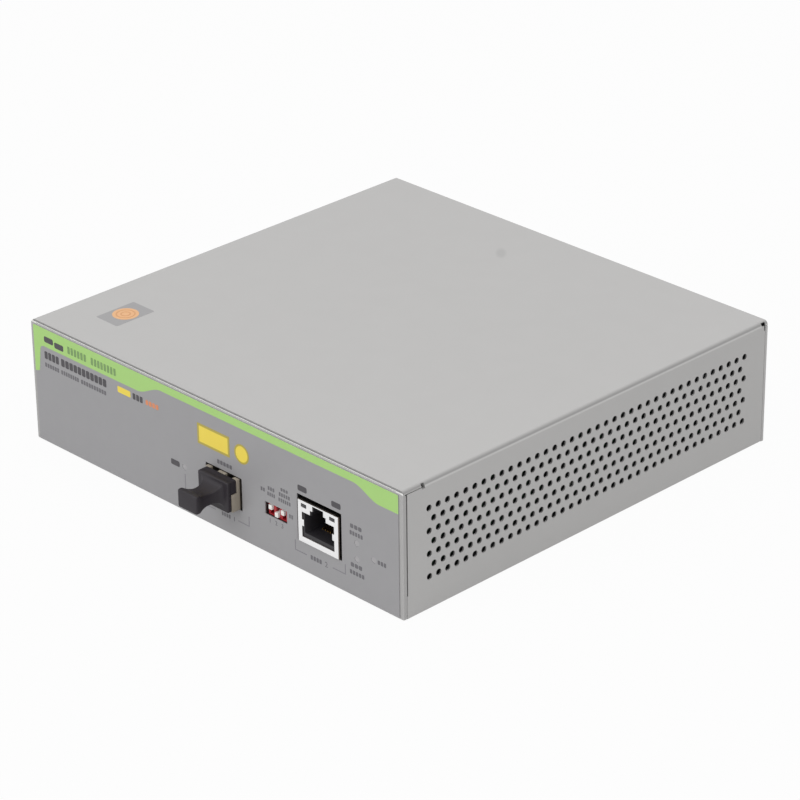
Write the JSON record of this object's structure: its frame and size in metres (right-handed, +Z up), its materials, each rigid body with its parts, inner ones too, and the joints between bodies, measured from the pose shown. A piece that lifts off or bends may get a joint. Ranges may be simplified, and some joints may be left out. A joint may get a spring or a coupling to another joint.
{
  "type": "fibre media converter",
  "caption": "Mains-powered box that joins an optical fibre port to a copper network jack, with setting levers, status lights and side vents.",
  "frame": {"origin": "centre of the case's underside", "axes": "+X to the right along the front panel, +Y from the front panel to the rear panel, +Z up"},
  "size_m": [0.159, 0.1691, 0.0401],
  "materials": {
    "case_paint": "light grey enamel on folded steel sheet, faint grain",
    "zinc_steel": "zinc-plated steel",
    "printed_film": "grey polyester film, printed from behind",
    "label_stock": "grey label stock with an orange disc",
    "nylon": "natural nylon",
    "board_laminate": "green solder resist on glass-fibre laminate",
    "clear_film": "milky insulating film",
    "port_moulding": "beige moulding",
    "ceramic": "white ceramic",
    "tinned_steel": "tin-plated steel",
    "plug_rubber": "charcoal rubber",
    "bright_nickel": "bright nickel plate",
    "black_moulding": "black moulding",
    "gold_plate": "gold-plated bronze",
    "clear_moulding": "clear moulding",
    "red_moulding": "red moulding",
    "white_moulding": "white moulding",
    "chip_epoxy": "black epoxy",
    "anodised_aluminium": "plain anodised",
    "capacitor_sleeve": "dark shrunk sleeve",
    "ferrite": "dark grey ferrite",
    "winding_tape": "yellow tape over the winding",
    "choke_winding": "enamelled copper wire",
    "fuse_glass": "glass tube",
    "box_capacitor": "yellow box"
  },
  "bodies": {
    "case": {"base_tray": "case_paint", "top_cover": "case_paint", "cover_screws": "zinc_steel", "front_overlay": "printed_film", "cover_sticker": "label_stock", "board_supports": "nylon", "main_board": "board_laminate", "power_board": "board_laminate", "insulating_sheet": "clear_film", "fibre_receptacle": "port_moulding", "ferrule_sleeves": "ceramic", "transceiver_can": "tinned_steel", "jack_shield": "bright_nickel", "jack_housing": "black_moulding", "jack_contacts": "gold_plate", "jack_lamp_left": "clear_moulding", "jack_lamp_right": "clear_moulding", "switch_body": "red_moulding", "light_pipe_link": "clear_moulding", "light_pipe_fault": "clear_moulding", "light_pipe_feed": "clear_moulding", "light_pipe_power": "clear_moulding", "board_lamps": "white_moulding", "controller_chip": "chip_epoxy", "chip_heat_sink": "anodised_aluminium", "line_magnetics": "chip_epoxy", "clock_crystal": "tinned_steel", "board_capacitors": "capacitor_sleeve", "supply_link": "black_moulding", "mains_inlet": "black_moulding", "inlet_blades": "tinned_steel", "bulk_capacitor": "capacitor_sleeve", "transformer_core": "ferrite", "transformer_winding": "winding_tape", "supply_heat_sink": "anodised_aluminium", "switching_transistor": "chip_epoxy", "mains_choke": "choke_winding", "mains_fuse": "fuse_glass", "filter_capacitor": "box_capacitor", "output_capacitors": "capacitor_sleeve"},
    "lever_1": {"switch_lever_1": "white_moulding"},
    "lever_2": {"switch_lever_2": "white_moulding"},
    "lever_3": {"switch_lever_3": "white_moulding"},
    "plug": {"dust_plug": "plug_rubber"}
  },
  "joints": [
    {"name": "lever_1_slide", "type": "slide", "parent": "case", "child": "lever_1", "axis": [0, 0, 1], "range_m": [-0.0016, 0]},
    {"name": "lever_2_slide", "type": "slide", "parent": "case", "child": "lever_2", "axis": [0, 0, 1], "range_m": [0, 0.0016]},
    {"name": "lever_3_slide", "type": "slide", "parent": "case", "child": "lever_3", "axis": [0, 0, 1], "range_m": [-0.0016, 0]},
    {"name": "dust_plug_pull", "type": "slide", "parent": "case", "child": "plug", "axis": [0, -1, 0], "range_m": [0, 0.015]}
  ]
}
